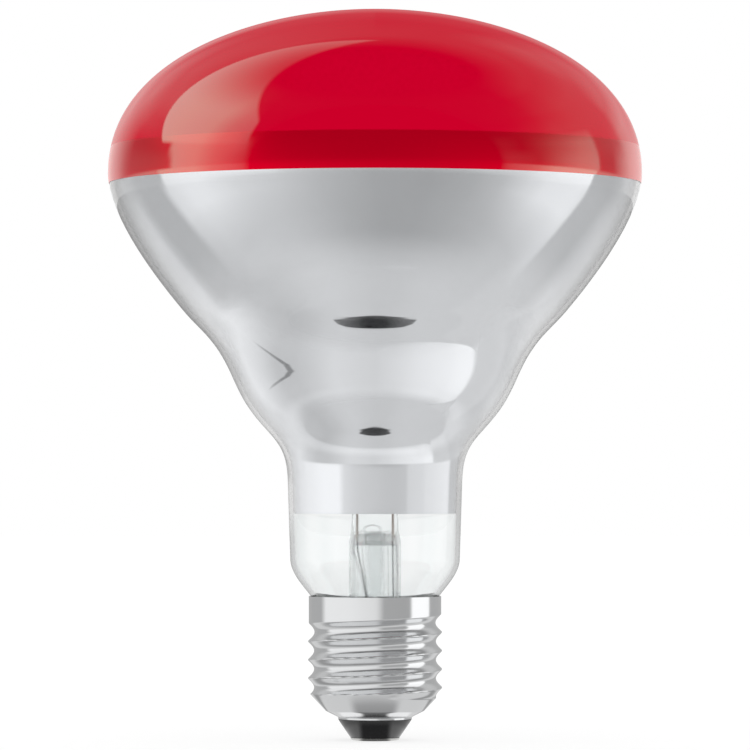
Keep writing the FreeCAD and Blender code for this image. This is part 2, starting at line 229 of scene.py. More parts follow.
def metal(name, colour, grain, detail, smoothest, roughest, stretch=(1, 1, 1)):
    """A bare metal whose roughness wanders with a noise of this grain, finer where it is stretched."""
    material, tree = new_material(name)
    coords = add_node(tree, "ShaderNodeTexCoord")
    scaled = add_node(tree, "ShaderNodeMapping", values={"Scale": stretch}, links={
        "Vector": coords.outputs["Object"]})
    marks = add_node(tree, "ShaderNodeTexNoise", values={"Scale": grain, "Detail": detail}, links={
        "Vector": scaled.outputs["Vector"]})
    dull = add_node(tree, "ShaderNodeMapRange", values={
        "From Min": 0.3, "From Max": 0.7, "To Min": smoothest, "To Max": roughest}, links={
        "Value": marks.outputs[0]})
    body = add_node(tree, "ShaderNodeBsdfPrincipled", values={
        "Base Color": linear(colour), "Metallic": 1.0}, links={"Roughness": dull.outputs["Result"]})
    add_node(tree, "ShaderNodeOutputMaterial", links={"Surface": body.outputs["BSDF"]})
    return material


# Evaporated silver: a nearly perfect mirror, with faint clouds where the film is a little uneven.
silvering = metal("evaporated silver mirror", silver, 60, 2, 0.02, 0.045)

mirror = turn(draw_outline("mirror_film", outline_places, outline_fineness), glass_turn_steps)
push_out(mirror, -(wall + mirror_gap))
keep_between(mirror, mirror_low_z, mirror_high_z)
give_wall(mirror, mirror_film)
finish_piece(mirror, silvering, "silvering", "mirror_coating")


# Red front: the finished bulb is dipped in red lacquer down to a line below its widest place.
# Over the mirror's upper edge the thin red looks metallic; higher up it is an even, glossy red.
red_line_z = equator_z - 0.002
red_gap = 0.00001
red_film = 0.00008
lacquer_red = "CD0029"
mirror_under_red = "EA0028"
lacquer_fineness = 48

# Gloss against how far the surface turns away: none face on, and paler towards the rim.
gloss_by_facing = [
    (0.118, (0.0, 0.0, 0.0)), (0.133, (0.018, 0.055, 0.048)), (0.157, (0.028, 0.088, 0.075)),
    (0.207, (0.045, 0.14, 0.11)), (0.263, (0.07, 0.25, 0.19)), (0.324, (0.08, 0.28, 0.22)),
    (0.391, (0.09, 0.31, 0.24)), (0.50, (0.10, 0.34, 0.28)), (0.70, (0.16, 0.40, 0.36)),
    (0.784, (0.19, 0.42, 0.39)), (0.87, (0.21, 0.45, 0.42)), (1.0, (0.26, 0.55, 0.53))]


def set_stops(ramp, stops):
    """Gives a colour ramp its stops, each a place from 0 to 1 and a colour."""
    elements = ramp.color_ramp.elements
    while len(elements) < len(stops):
        elements.new(1.0)
    for element, (at, _) in zip(elements, stops):
        element.position = at
    for element, (_, colour) in zip(elements, stops):
        element.color = (*colour, 1)


# Dipped lacquer: an even red with a hard clear gloss, and metallic where the mirror lies behind it.
red_lacquer, tree = new_material("dipped red lacquer")
coords = add_node(tree, "ShaderNodeTexCoord")
place = add_node(tree, "ShaderNodeSeparateXYZ", links={"Vector": coords.outputs["Object"]})
over_mirror = add_node(tree, "ShaderNodeMapRange", values={
    "From Min": mirror_high_z + 0.0001, "From Max": mirror_high_z - 0.0001}, links={
    "Value": place.outputs["Z"]})
colour = add_node(tree, "ShaderNodeMix", in_colour, values={
    6: linear(lacquer_red), 7: linear(mirror_under_red)}, links={0: over_mirror.outputs["Result"]})
metal_share = add_node(tree, "ShaderNodeMath", {"operation": "MULTIPLY"}, values={1: 0.55}, links={
    0: over_mirror.outputs["Result"]})
body = add_node(tree, "ShaderNodeBsdfPrincipled", values={
    "Roughness": 0.28, "Specular IOR Level": 0.0}, links={
    "Base Color": colour.outputs[2], "Metallic": metal_share.outputs["Value"]})
facing = add_node(tree, "ShaderNodeLayerWeight")
share = add_node(tree, "ShaderNodeValToRGB", links={"Fac": facing.outputs["Facing"]})
set_stops(share, gloss_by_facing)
gloss = add_node(tree, "ShaderNodeBsdfAnisotropic", values={"Roughness": 0.02}, links={
    "Color": share.outputs["Color"]})
coat = add_node(tree, "ShaderNodeAddShader", links={0: body.outputs["BSDF"], 1: gloss.outputs["BSDF"]})
add_node(tree, "ShaderNodeOutputMaterial", links={"Surface": coat.outputs["Shader"]})

red_front = turn(draw_outline("red_front", outline_places[:3], lacquer_fineness), glass_turn_steps)
push_out(red_front, red_gap)
keep_between(red_front, red_line_z, apex_z + wall)
give_wall(red_front, red_film, side=1)
finish_piece(red_front, red_lacquer, "red_lacquer", "red_coating")


# Stem: a flared glass tube melted to the end of the neck. Its top is pressed flat round the wires,
# and the hole blown through the press, with its melted rim, is where the bulb was pumped out.
stem_radius = 0.0051
stem_wall = 0.0008
flare_top_z = seal_z + 0.0056
tube_top_z = flare_top_z + 0.0127
hole_width = 0.0033
hole_height = 0.0018
hole_lip = 0.00026
hole_place = (-0.0005, -0.0022, tube_top_z + 0.0031)
hole_tilt = 80
stem_fineness = 12
stem_turn_steps = 96

# Rise, and what is left of the width and the depth, at each step of the press and of its bore.
press_steps = [(0.0009, 0.995, 0.93), (0.0009, 0.965, 0.72), (0.0009, 0.96, 0.70), (0.0026, 0.97, 0.82),
               (0.0024, 0.97, 0.85)]
bore_steps = [(0.0012, 0.9, 0.45), (0.0011, 0.8, 0.20)]

# Soft lead glass: clear and smooth, and close enough to the air round it in the picture to look faint.
lead_glass, tree = new_material("soft lead glass")
body = add_node(tree, "ShaderNodeBsdfPrincipled", values={
    "Base Color": linear("FFFFFF"), "Roughness": 0.0, "IOR": 1.3, "Transmission Weight": 1.0})
let_through = add_node(tree, "ShaderNodeBsdfTransparent", values={"Color": linear("F9FAFA")})
rays = add_node(tree, "ShaderNodeLightPath")
thin = add_node(tree, "ShaderNodeMapRange", values={"To Min": 0.6, "To Max": 1.0}, links={
    "Value": rays.outputs["Is Shadow Ray"]})
mix = add_node(tree, "ShaderNodeMixShader", links={
    0: thin.outputs["Result"], 1: body.outputs["BSDF"], 2: let_through.outputs["BSDF"]})
add_node(tree, "ShaderNodeOutputMaterial", links={"Surface": mix.outputs["Shader"]})

stem_places = [
    (stem_radius, tube_top_z, 0, 0, 1 / 3),
    (stem_radius, flare_top_z, 0, 1 / 3, 0.45),
    (0.0097, seal_z + 0.0012, -58, 0.35, 1 / 3),
    (0.0097, seal_z, 0, 1 / 3, 0),
]


def select_ring(piece, height):
    """Selects the ring of points at one height, in edit mode."""
    bpy.ops.mesh.select_all(action="DESELECT")
    bpy.ops.object.mode_set(mode="OBJECT")
    for vertex in piece.data.vertices:
        vertex.select = abs(vertex.co.z - height) < 0.00001
    for edge in piece.data.edges:
        edge.select = all(piece.data.vertices[i].select for i in edge.vertices)
    bpy.ops.object.mode_set(mode="EDIT")


def draw_up(piece, steps):
    """Draws the end of a tube upwards, squeezing its width and depth at each step, and closes it."""
    only(piece)
    bpy.ops.object.mode_set(mode="EDIT")
    select_ring(piece, tube_top_z)
    for rise, wide, deep in steps:
        bpy.ops.mesh.extrude_region_move(TRANSFORM_OT_translate={"value": (0, 0, rise)})
        bpy.ops.transform.resize(value=(wide, deep, 1), center_override=(0, 0, 0))
    bpy.ops.mesh.edge_face_add()


stem = turn(draw_outline("stem_glass", stem_places, stem_fineness), stem_turn_steps)
bore = turn(draw_outline("stem_bore", stem_places[:3], stem_fineness), stem_turn_steps)
push_out(bore, -stem_wall)
draw_up(stem, press_steps)
bpy.ops.object.mode_set(mode="OBJECT")
draw_up(bore, bore_steps)
bpy.ops.mesh.select_all(action="SELECT")
bpy.ops.mesh.flip_normals()
bpy.ops.object.mode_set(mode="OBJECT")
bpy.ops.object.select_all(action="DESELECT")
bpy.ops.mesh.primitive_torus_add(
    major_radius=hole_width / 2, minor_radius=hole_lip, major_segments=48, minor_segments=12,
    location=hole_place, rotation=(math.radians(hole_tilt), 0, 0))
hole_rim = bpy.context.object
hole_rim.scale = (1, hole_height / hole_width, 1)
bpy.ops.object.transform_apply(location=True, rotation=True, scale=True)
bpy.ops.object.select_all(action="DESELECT")
for part in (hole_rim, bore, stem):
    part.select_set(True)
bpy.context.view_layer.objects.active = stem
bpy.ops.object.join()
finish_piece(stem, lead_glass, "clear_glass", "stem")

# The exhaust tube is the same glass, drawn out and sealed at its lower end, and so is the rod.
exhaust_radius = 0.0020
exhaust_wall = 0.0007
exhaust_places = [(exhaust_radius, 0.0406, 0, 0, 1 / 3), (exhaust_radius, 0.0170, 0, 1 / 3, 0.5),
                  (0, 0.0130, 70, 0.3, 0)]
exhaust = turn(draw_outline("exhaust_glass", exhaust_places, stem_fineness), stem_turn_steps // 2)
give_wall(exhaust, exhaust_wall)
finish_piece(exhaust, lead_glass, "clear_glass", "exhaust_tube")
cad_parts["support_rod"].material_slots[0].material = lead_glass


# Screw shell: nickel-plated brass sheet, 0.3 mm thick, with the thread rolled into it, so its crests
# are narrow folds between wide hollows that run out under the plain collar.
shell_foot_z = 0.0042
shell_sheet = 0.0003
crest_radius = 0.0132
root_radius = 0.0120
collar_radius = 0.01304
crest_rounding = 0.1
thread_pitch = 0.003629
thread_turns = 3.05
runout_turns = 0.3
first_crest_z = shell_foot_z + 0.00615
foot_radius = 0.00725
cone_start_radius = 0.0097
ramp_z = shell_foot_z + 0.00035
ramp_slope = 2.0
cone_slope = 0.93
shell_columns = 160
shell_rows = 224
notch_width = 0.0012
notch_depth = 0.00135
nickel = "E5E6E7"


def groove_share(place):
    """How deep the hollow is at this turn of the thread, fading to nothing where it runs out."""
    return min(1, max(0, (thread_turns + runout_turns - place) / runout_turns))


def shell_radius(angle, height):
    """The shell's outer radius: ramp and cone of the bottom, then the rolled thread and the collar."""
    around = angle / (2 * math.pi)
    pitches = (height - first_crest_z) / thread_pitch - around
    groove = math.floor(pitches)
    phase = pitches - groove
    here = groove_share(groove + around)
    above = groove_share(groove + 1 + around)
    crest = collar_radius + (crest_radius - collar_radius) * (here * (1 - phase) + above * phase)
    wave = math.hypot(math.sin(math.pi * phase), crest_rounding) - crest_rounding
    hollow = wave / (math.hypot(1, crest_rounding) - crest_rounding)
    thread = crest - (crest_radius - root_radius) * here * hollow
    cone_z = ramp_z + (cone_start_radius - foot_radius) / ramp_slope
    ramp = foot_radius + (height - ramp_z) * ramp_slope
    cone = cone_start_radius + (height - cone_z) * cone_slope
    return min(thread, max(foot_radius, min(ramp, cone)))


# Nickel plate over rolled brass: a soft metallic shine, a little duller where the rollers pressed.
nickel_plate = metal("nickel-plated brass", nickel, 6, 3, 0.10, 0.17, stretch=(40, 40, 900))

bpy.ops.object.select_all(action="DESELECT")
bpy.ops.mesh.primitive_grid_add(x_subdivisions=shell_columns, y_subdivisions=shell_rows, size=1)
shell = bpy.context.object
shell.name = "rolled_shell"
for vertex in shell.data.vertices:
    angle = (vertex.co.x + 0.5) * 2 * math.pi
    height = shell_foot_z + (vertex.co.y + 0.5) * (rim_z - shell_foot_z)
    radius = shell_radius(angle, height)
    vertex.co = (radius * math.cos(angle), radius * math.sin(angle), height)
only(shell)
bpy.ops.object.mode_set(mode="EDIT")
bpy.ops.mesh.select_all(action="SELECT")
bpy.ops.mesh.remove_doubles(threshold=merge_distance)
bpy.ops.mesh.normals_make_consistent(inside=False)
bpy.ops.mesh.select_all(action="DESELECT")
bpy.ops.object.mode_set(mode="OBJECT")
# The notch in the collar's back, where the side wire comes out.
for face in shell.data.polygons:
    in_notch = abs(face.center.x) < notch_width / 2 and face.center.z > rim_z - notch_depth
    face.select = in_notch and face.center.y > 0
bpy.ops.object.mode_set(mode="EDIT")
bpy.ops.mesh.select_mode(type="FACE")
bpy.ops.mesh.delete(type="FACE")
bpy.ops.mesh.select_mode(type="VERT")
bpy.ops.object.mode_set(mode="OBJECT")
give_wall(shell, shell_sheet)
finish_piece(shell, nickel_plate, "nickel_plate", "screw_shell")


# Insulator: black glass pressed into the hot shell's bottom, where it sticks. It is a short cone that
# keeps the centre contact apart from the shell.
turned_steps = 96
insulator_edge = 0.00012
insulator_places = [
    (0.00146, 0.0074), (0.0034, 0.0074), (0.00925, 0.0074), (0.0072, 0.0050), (0.00685, 0.0044),
    (0.0072, 0.00414), (0.00725, 0.0041), (0.0049, 0.0006), (0.00475, 0.00052), (0.00146, 0.00052),
]
cast_black = "0B0B0D"

# Black glass from a mould: deep black with a hard gloss that is very slightly wavy.
black_glass, tree = new_material("cast black glass")
coords = add_node(tree, "ShaderNodeTexCoord")
flow = add_node(tree, "ShaderNodeTexNoise", values={"Scale": 400, "Detail": 2}, links={
    "Vector": coords.outputs["Object"]})
skin = add_node(tree, "ShaderNodeBump", values={"Strength": 0.06, "Distance": 0.0002}, links={
    "Height": flow.outputs[0]})
body = add_node(tree, "ShaderNodeBsdfPrincipled", values={
    "Base Color": linear(cast_black), "Roughness": 0.09, "IOR": 1.8}, links={
    "Normal": skin.outputs["Normal"]})
add_node(tree, "ShaderNodeOutputMaterial", links={"Surface": body.outputs["BSDF"]})


def turn_corners(name, corners):
    """Turns a closed outline with corners round the lamp's axis, by extruding one point along it."""
    bpy.ops.object.select_all(action="DESELECT")
    bpy.ops.mesh.primitive_plane_add(size=0.001, location=(0, 0, 0))
    piece = bpy.context.object
    piece.name = name
    bpy.ops.object.mode_set(mode="EDIT")
    bpy.ops.mesh.select_all(action="SELECT")
    bpy.ops.mesh.merge(type="CENTER")
    bpy.ops.transform.translate(value=(corners[0][0], 0, corners[0][1]))
    for (r0, z0), (r1, z1) in zip(corners, corners[1:] + corners[:1]):
        bpy.ops.mesh.extrude_region_move(TRANSFORM_OT_translate={"value": (r1 - r0, 0, z1 - z0)})
    bpy.ops.object.mode_set(mode="OBJECT")
    return turn(piece, turned_steps)


insulator = turn_corners("cast_insulator", insulator_places)
only(insulator)
bpy.ops.object.modifier_add(type="BEVEL")
rounding = insulator.modifiers[-1]
rounding.width = insulator_edge
rounding.segments = 2
rounding.limit_method = "ANGLE"
rounding.angle_limit = math.radians(25)
bpy.ops.object.modifier_apply(modifier=rounding.name)
finish_piece(insulator, black_glass, "black_glass", "insulator")


# Centre contact: a stamped disc of tinned brass with a rounded edge and a hollow rivet, which is
# spread inside the glass to hold it and filled with solder round the wire.
contact_radius = 0.00485
contact_thickness = 0.0005
rivet_radius = 0.0014
rivet_bore = 0.0010
rivet_top_z = 0.0036
edge_steps = 6
tinned = "C4C4C2"

# Tinned brass: soft and bright, scuffed dull by the holder's spring.
contact_metal = metal("tinned brass contact", tinned, 900, 3, 0.18, 0.32)

contact_places = [
    (contact_radius, contact_thickness), (rivet_radius, contact_thickness), (rivet_radius, rivet_top_z),
    (rivet_bore, rivet_top_z), (rivet_bore, 0.0)]
for step in range(edge_steps):
    bend = math.radians(90 * step / edge_steps)
    contact_places.append((
        contact_radius - contact_thickness + contact_thickness * math.sin(bend),
        contact_thickness - contact_thickness * math.cos(bend)))
contact = turn_corners("stamped_contact", contact_places)
finish_piece(contact, contact_metal, "contact_metal", "centre_contact")


# Solder: the plug in the rivet and the drop on the collar where the side wire comes out, both
# melted lead-free tin with the slightly crinkled skin that it gets as it sets.
solder_grey = "B9BAB8"

solder, tree = new_material("set tin solder")
coords = add_node(tree, "ShaderNodeTexCoord")
crinkle = add_node(tree, "ShaderNodeTexNoise", values={"Scale": 2200, "Detail": 3}, links={
    "Vector": coords.outputs["Object"]})
skin = add_node(tree, "ShaderNodeBump", values={"Strength": 0.35, "Distance": 0.0001}, links={
    "Height": crinkle.outputs[0]})
body = add_node(tree, "ShaderNodeBsdfPrincipled", values={
    "Base Color": linear(solder_grey), "Metallic": 1.0, "Roughness": 0.3}, links={
    "Normal": skin.outputs["Normal"]})
add_node(tree, "ShaderNodeOutputMaterial", links={"Surface": body.outputs["BSDF"]})
for name in ("centre_solder", "side_solder"):
    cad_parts[name].material_slots[0].material = solder


# Capping cement: a grey-white paste of resin and chalk, baked hard in the collar, where it holds the
# glass and the shell together. Its face is dull and gritty.
cement_grey = "ECEAE4"

cement, tree = new_material("baked capping cement")
coords = add_node(tree, "ShaderNodeTexCoord")
grit = add_node(tree, "ShaderNodeTexNoise", values={"Scale": 3000, "Detail": 4}, links={
    "Vector": coords.outputs["Object"]})
tone = add_node(tree, "ShaderNodeMix", in_colour, values={
    6: linear("D6D2C9"), 7: linear(cement_grey)}, links={0: grit.outputs[0]})
skin = add_node(tree, "ShaderNodeBump", values={"Strength": 0.4, "Distance": 0.0001}, links={
    "Height": grit.outputs[0]})
body = add_node(tree, "ShaderNodeBsdfPrincipled", values={"Roughness": 0.85}, links={
    "Base Color": tone.outputs[2], "Normal": skin.outputs["Normal"]})
add_node(tree, "ShaderNodeOutputMaterial", links={"Surface": body.outputs["BSDF"]})
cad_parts["capping_cement"].material_slots[0].material = cement


# Wires: each lead is nickel inside the bulb, copper-clad where it passes the glass, so that the seal
# stays tight, and thin bare wire from there to the cap. The hooks are molybdenum.
# Drawn wire is bright and fine, with the grain of the die at a quarter of a millimetre.
die_grain = 4000

nickel_wire = metal("drawn nickel wire", "A9A7A2", die_grain, 2, 0.20, 0.30)
clad_wire = metal("copper-clad seal wire", "B3A59C", die_grain, 2, 0.30, 0.40)
lead_wire = metal("bare lead wire", "5B5B5C", die_grain, 2, 0.30, 0.40)
hook_wire = metal("molybdenum wire", "8C8E92", die_grain, 2, 0.25, 0.35)
for material, names in (
        (nickel_wire, ("inner_lead_left", "inner_lead_right")),
        (clad_wire, ("seal_wire_left", "seal_wire_right")),
        (lead_wire, ("centre_lead", "side_lead")),
        (hook_wire, ["support_hook_%d" % (i + 1) for i in range(5)])):
    for name in names:
        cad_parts[name].material_slots[0].material = material


# Filament: tungsten wire wound into a close coil and bent into a ring that hangs in the hooks,
# with its gap at the front between the two leads.
filament_z = 0.080007
ring_radius = 0.012
coil_radius = 0.00051
coil_wire = 0.00009
coil_turns = 150
points_per_turn = 9
gap_angle = 56

tungsten = metal("coiled tungsten wire", "6E6E72", die_grain, 2, 0.35, 0.45)
bpy.ops.object.select_all(action="DESELECT")
bpy.ops.curve.primitive_nurbs_path_add(location=(0, 0, 0))
coil = bpy.context.object
coil.name = "filament_coil"
coil.data.splines.clear()
spline = coil.data.splines.new("POLY")
count = coil_turns * points_per_turn
spline.points.add(count)
for i, point in enumerate(spline.points):
    along = math.radians(-90 + gap_angle / 2 + (360 - gap_angle) * i / count)
    wind = 2 * math.pi * i / points_per_turn
    radius = ring_radius + coil_radius * math.cos(wind)
    height = filament_z + coil_radius * math.sin(wind)
    point.co = (radius * math.cos(along), radius * math.sin(along), height, 1)
coil.data.bevel_depth = coil_wire
coil.data.bevel_resolution = 1
coil.data.use_fill_caps = True
only(coil)
bpy.ops.object.convert(target="MESH")
finish_piece(coil, tungsten, "tungsten", "filament")


# Studio: a pale floor and white all round for what is seen and lit directly. What the mirror, the
# gloss and the metals reflect is a dim front between bright sides, as round a lamp in a light tent.
floor_tone = "9C9C9C"
floor_glow = 0.72
floor_size = 6
pad_near = 0.065
pad_far = 0.110
wall_radius = 0.060
wall_top = 0.104
wall_lift = 0.0002
soft_steps = {"interpolation_type": "SMOOTHSTEP"}


def mirrored_rays(tree):
    """How much of the studio pattern a ray shows, and whether it came by the mirror in the glass."""
    rays = add_node(tree, "ShaderNodeLightPath")
    bounced = add_node(tree, "ShaderNodeMath", {"operation": "GREATER_THAN"}, values={1: 0.5}, links={
        0: rays.outputs["Glossy Depth"]})
    simple = add_node(tree, "ShaderNodeMath", {"operation": "LESS_THAN"}, values={1: 4.5}, links={
        0: rays.outputs["Transmission Depth"]})
    patterned = add_node(tree, "ShaderNodeMath", {"operation": "MULTIPLY"}, links={
        0: bounced.outputs["Value"], 1: simple.outputs["Value"]})
    by_mirror = add_node(tree, "ShaderNodeMath", {"operation": "GREATER_THAN"}, values={1: 0.5}, links={
        0: rays.outputs["Transmission Depth"]})
    return rays, patterned.outputs["Value"], by_mirror.outputs["Value"]


def level_round(tree, way, levels):
    """Grey by the compass direction of a vector: 0 towards the camera, 90 right, 180 behind, in percent."""
    front = add_node(tree, "ShaderNodeMath", {"operation": "MULTIPLY"}, values={1: -1}, links={
        0: way.outputs["Y"]})
    compass = add_node(tree, "ShaderNodeMath", {"operation": "ARCTAN2"}, links={
        0: way.outputs["X"], 1: front.outputs["Value"]})
    place = add_node(tree, "ShaderNodeMath", {"operation": "MULTIPLY_ADD"}, values={
        1: 1 / (2 * math.pi), 2: 0.5}, links={0: compass.outputs["Value"]})
    ramp = add_node(tree, "ShaderNodeValToRGB", links={"Fac": place.outputs["Value"]})
    set_stops(ramp, [(degrees / 360 + 0.5, (level / 100,) * 3) for degrees, level in levels])
    return ramp.outputs["Color"]


def fade_rows(tree, way, glow, rows):
    """Fades from one row of levels round the lamp to the next, each between two heights of a vector."""
    for start, end, levels in rows:
        share = add_node(tree, "ShaderNodeMapRange", values={"From Min": start, "From Max": end}, links={
            "Value": way.outputs["Z"]})
        glow = add_node(tree, "ShaderNodeMix", in_colour, links={
            0: share.outputs["Result"], 6: glow, 7: level_round(tree, way, levels)}).outputs[2]
    return glow


bpy.ops.object.select_all(action="DESELECT")
bpy.ops.mesh.primitive_plane_add(size=floor_size, location=(0, 0, 0))
floor = bpy.context.object
floor.name = "floor"
floor_paint, tree = new_material("pale studio floor")
rays, patterned, by_mirror = mirrored_rays(tree)
paint = add_node(tree, "ShaderNodeBsdfDiffuse", values={"Color": linear(floor_tone)})
fill = add_node(tree, "ShaderNodeEmission", values={"Color": linear("FFFFFF"), "Strength": floor_glow})
plain = add_node(tree, "ShaderNodeAddShader", links={0: paint.outputs["BSDF"], 1: fill.outputs["Emission"]})
coords = add_node(tree, "ShaderNodeTexCoord")
way = add_node(tree, "ShaderNodeSeparateXYZ", links={"Vector": coords.outputs["Object"]})
away = add_node(tree, "ShaderNodeVectorMath", {"operation": "LENGTH"}, links={0: coords.outputs["Object"]})
pad = add_node(tree, "ShaderNodeMapRange", soft_steps, values={
    "From Min": pad_far, "From Max": pad_near}, links={"Value": away.outputs["Value"]})
foot_levels = [
    (-180, 60), (-120, 58), (-105, 52), (-90, 51), (-75, 48), (-60, 53), (-45, 60), (-30, 62), (-15, 59),
    (0, 56), (15, 56), (30, 59), (45, 60), (73, 59), (105, 58), (120, 60), (180, 60)]
pad_level = level_round(tree, way, foot_levels)

# In front of the lamp lie two flat ovals of painted shade, shown only where the mirror looks almost
# straight down. Each edge adds up shares of the slope, of Y and of X squared, and lies between the last two
# numbers.
shade_oval_edges = [
    (1, 0, -26.4, 0.0080, 0.0090), (1, 0.9, -43.2, -0.0339, -0.0343), (0, 0, 1, 0.00081, 0.00090),
    (0, 1, 0, -0.0325, -0.0315)]
small_shade_oval_edges = [
    (1, 0, -10.2, 0.0230, 0.0260), (1, 2.35, -96.0, -0.0590, -0.0600), (0, 1, 0, -0.0335, -0.0345),
    (0, 1, 0, -0.0240, -0.0200)]
aside = add_node(tree, "ShaderNodeMath", {"operation": "ABSOLUTE"}, links={0: way.outputs["X"]})
aside_squared = add_node(tree, "ShaderNodeMath", {"operation": "MULTIPLY"}, links={
    0: way.outputs["X"], 1: way.outputs["X"]})
slope = add_node(tree, "ShaderNodeLayerWeight")
spot = add_node(tree, "ShaderNodeCombineXYZ", links={
    "X": slope.outputs["Facing"], "Y": way.outputs["Y"], "Z": aside_squared.outputs["Value"]})
outside = []
for edges in (shade_oval_edges, small_shade_oval_edges):
    past = []
    for by_slope, by_y, by_square, inner, outer in edges:
        total = add_node(tree, "ShaderNodeVectorMath", {"operation": "DOT_PRODUCT"}, values={
            1: (by_slope, by_y, by_square)}, links={0: spot.outputs["Vector"]})
        past.append(add_node(tree, "ShaderNodeMapRange", soft_steps, values={
            "From Min": inner, "From Max": outer}, links={
            "Value": total.outputs["Value"]}).outputs["Result"])
    while len(past) > 1:
        past.append(add_node(tree, "ShaderNodeMath", {"operation": "MAXIMUM"}, links={
            0: past.pop(), 1: past.pop()}).outputs["Value"])
    outside += past
outside_both = add_node(tree, "ShaderNodeMath", {"operation": "MINIMUM"}, links={
    0: outside[0], 1: outside[1]})
# Painted shade: the dark level of the ovals and of the floor in front of the insulator, darkest on the middle
# line.
dark = add_node(tree, "ShaderNodeMapRange", soft_steps, values={
    "From Min": 0.004, "From Max": 0.022, "To Min": 0.004, "To Max": 0.10}, links={
    "Value": aside.outputs["Value"]})
# The cap shows the floor close round it: painted shade in front of the insulator, brighter beside it.
outward = add_node(tree, "ShaderNodeVectorMath", {"operation": "NORMALIZE"}, links={
    0: coords.outputs["Object"]})
ahead = add_node(tree, "ShaderNodeVectorMath", {"operation": "DOT_PRODUCT"}, values={1: (0, -1, 0)}, links={
    0: outward.outputs["Vector"]})
in_front = add_node(tree, "ShaderNodeMapRange", soft_steps, values={
    "From Min": 0.66, "From Max": 0.88}, links={"Value": ahead.outputs["Value"]})
ring_span = 0.04
ring = add_node(tree, "ShaderNodeMath", {"operation": "DIVIDE"}, values={1: ring_span}, links={
    0: away.outputs["Value"]})
beside_levels = [
    (0.0085, 100), (0.0105, 72), (0.0185, 72), (0.021, 35), (0.025, 35), (0.036, 72)]
front_shade_levels = [
    (0.0085, 16), (0.0100, 34), (0.0115, 40), (0.0140, 72), (0.020, 32), (0.025, 32), (0.036, 72)]
rings = []
for levels in (beside_levels, front_shade_levels):
    ramp = add_node(tree, "ShaderNodeValToRGB", links={"Fac": ring.outputs["Value"]})
    set_stops(ramp, [(distance / ring_span, (level / 100,) * 3) for distance, level in levels])
    rings.append(ramp.outputs["Color"])
for_cap = add_node(tree, "ShaderNodeMix", in_colour, links={
    0: in_front.outputs["Result"], 6: rings[0], 7: rings[1]})
for_cap = add_node(tree, "ShaderNodeMix", in_colour, links={
    0: outside[0], 6: dark.outputs["Result"], 7: for_cap.outputs[2]})
for_mirror = add_node(tree, "ShaderNodeMix", in_colour, links={
    0: outside_both.outputs["Value"], 6: dark.outputs["Result"], 7: pad_level})
level = add_node(tree, "ShaderNodeMix", in_colour, links={
    0: by_mirror, 6: for_cap.outputs[2], 7: for_mirror.outputs[2]})
shine = add_node(tree, "ShaderNodeEmission", links={"Color": level.outputs[2]})
nothing = add_node(tree, "ShaderNodeBsdfTransparent")
pad_shine = add_node(tree, "ShaderNodeMixShader", links={
    0: pad.outputs["Result"], 1: nothing.outputs["BSDF"], 2: shine.outputs["Emission"]})
mix = add_node(tree, "ShaderNodeMixShader", links={
    0: patterned, 1: plain.outputs["Shader"], 2: pad_shine.outputs["Shader"]})
add_node(tree, "ShaderNodeOutputMaterial", links={"Surface": mix.outputs["Shader"]})
floor.data.materials.append(floor_paint)

# A round wall of diffusing card close to the lamp, which only the mirror and the metals show.
bpy.ops.object.select_all(action="DESELECT")
bpy.ops.mesh.primitive_cylinder_add(
    vertices=128, radius=wall_radius, depth=wall_top, end_fill_type="NOTHING",
    location=(0, 0, wall_top / 2 + wall_lift))
card_wall = bpy.context.object
card_wall.name = "light_wall"
bpy.ops.object.transform_apply(location=True, rotation=True, scale=True)
bpy.ops.object.shade_smooth()
wall_card, tree = new_material("diffusing card")
rays, patterned, by_mirror = mirrored_rays(tree)
coords = add_node(tree, "ShaderNodeTexCoord")
way = add_node(tree, "ShaderNodeSeparateXYZ", links={"Vector": coords.outputs["Object"]})
slant = add_node(tree, "ShaderNodeLayerWeight")

cap_levels = level_round(tree, way, [
    (-180, 60), (-165, 48), (-97, 48), (-86, 100), (-40, 98), (0, 88), (5, 80), (14, 46), (54, 44),
    (58, 50), (61, 125), (97, 125), (101, 48), (165, 48), (180, 60)])
thread_levels = level_round(tree, way, [
    (-180, 62), (-112, 62), (-102, 95), (-20, 92), (5, 72), (55, 66), (62, 115), (97, 115), (102, 62),
    (180, 62)])
to_thread = add_node(tree, "ShaderNodeMapRange", soft_steps, values={
    "From Min": 0.06, "From Max": 0.16}, links={"Value": slant.outputs["Facing"]})
cap_glow = add_node(tree, "ShaderNodeMix", in_colour, links={
    0: to_thread.outputs["Result"], 6: cap_levels, 7: thread_levels})
towards_top = add_node(tree, "ShaderNodeMapRange", soft_steps, values={
    "From Min": 0.058, "From Max": 0.078}, links={"Value": way.outputs["Z"]})
cap_glow = add_node(tree, "ShaderNodeMix", in_colour, values={7: (0.3, 0.3, 0.3, 1)}, links={
    0: towards_top.outputs["Result"], 6: cap_glow.outputs[2]})

# What the mirror's neck shows: rays that run nearly level.
high_levels = level_round(tree, way, [
    (-180, 90), (-150, 99), (-138, 80), (-115, 77), (-105, 84), (-85, 88), (-65, 95), (-44, 95), (-37, 72),
    (-25, 64), (-15, 60), (5, 56), (25, 55), (36, 57), (41, 68), (75, 76), (100, 84), (105, 82), (108, 58),
    (135, 62), (160, 70), (180, 80)])
row_levels = level_round(tree, way, [
    (-180, 75), (-138, 70), (-125, 75), (-105, 82), (-90, 78), (-75, 82), (-60, 86), (-44, 84), (-37, 68),
    (-25, 58), (-15, 53), (0, 44), (15, 42), (30, 48), (38, 58), (45, 72), (60, 68), (75, 65), (95, 64),
    (103, 60), (125, 67), (180, 75)])
to_high = add_node(tree, "ShaderNodeMapRange", soft_steps, values={
    "From Min": 0.0375, "From Max": 0.0435}, links={"Value": way.outputs["Z"]})
neck_glow = add_node(tree, "ShaderNodeMix", in_colour, links={
    0: to_high.outputs["Result"], 6: row_levels, 7: high_levels})

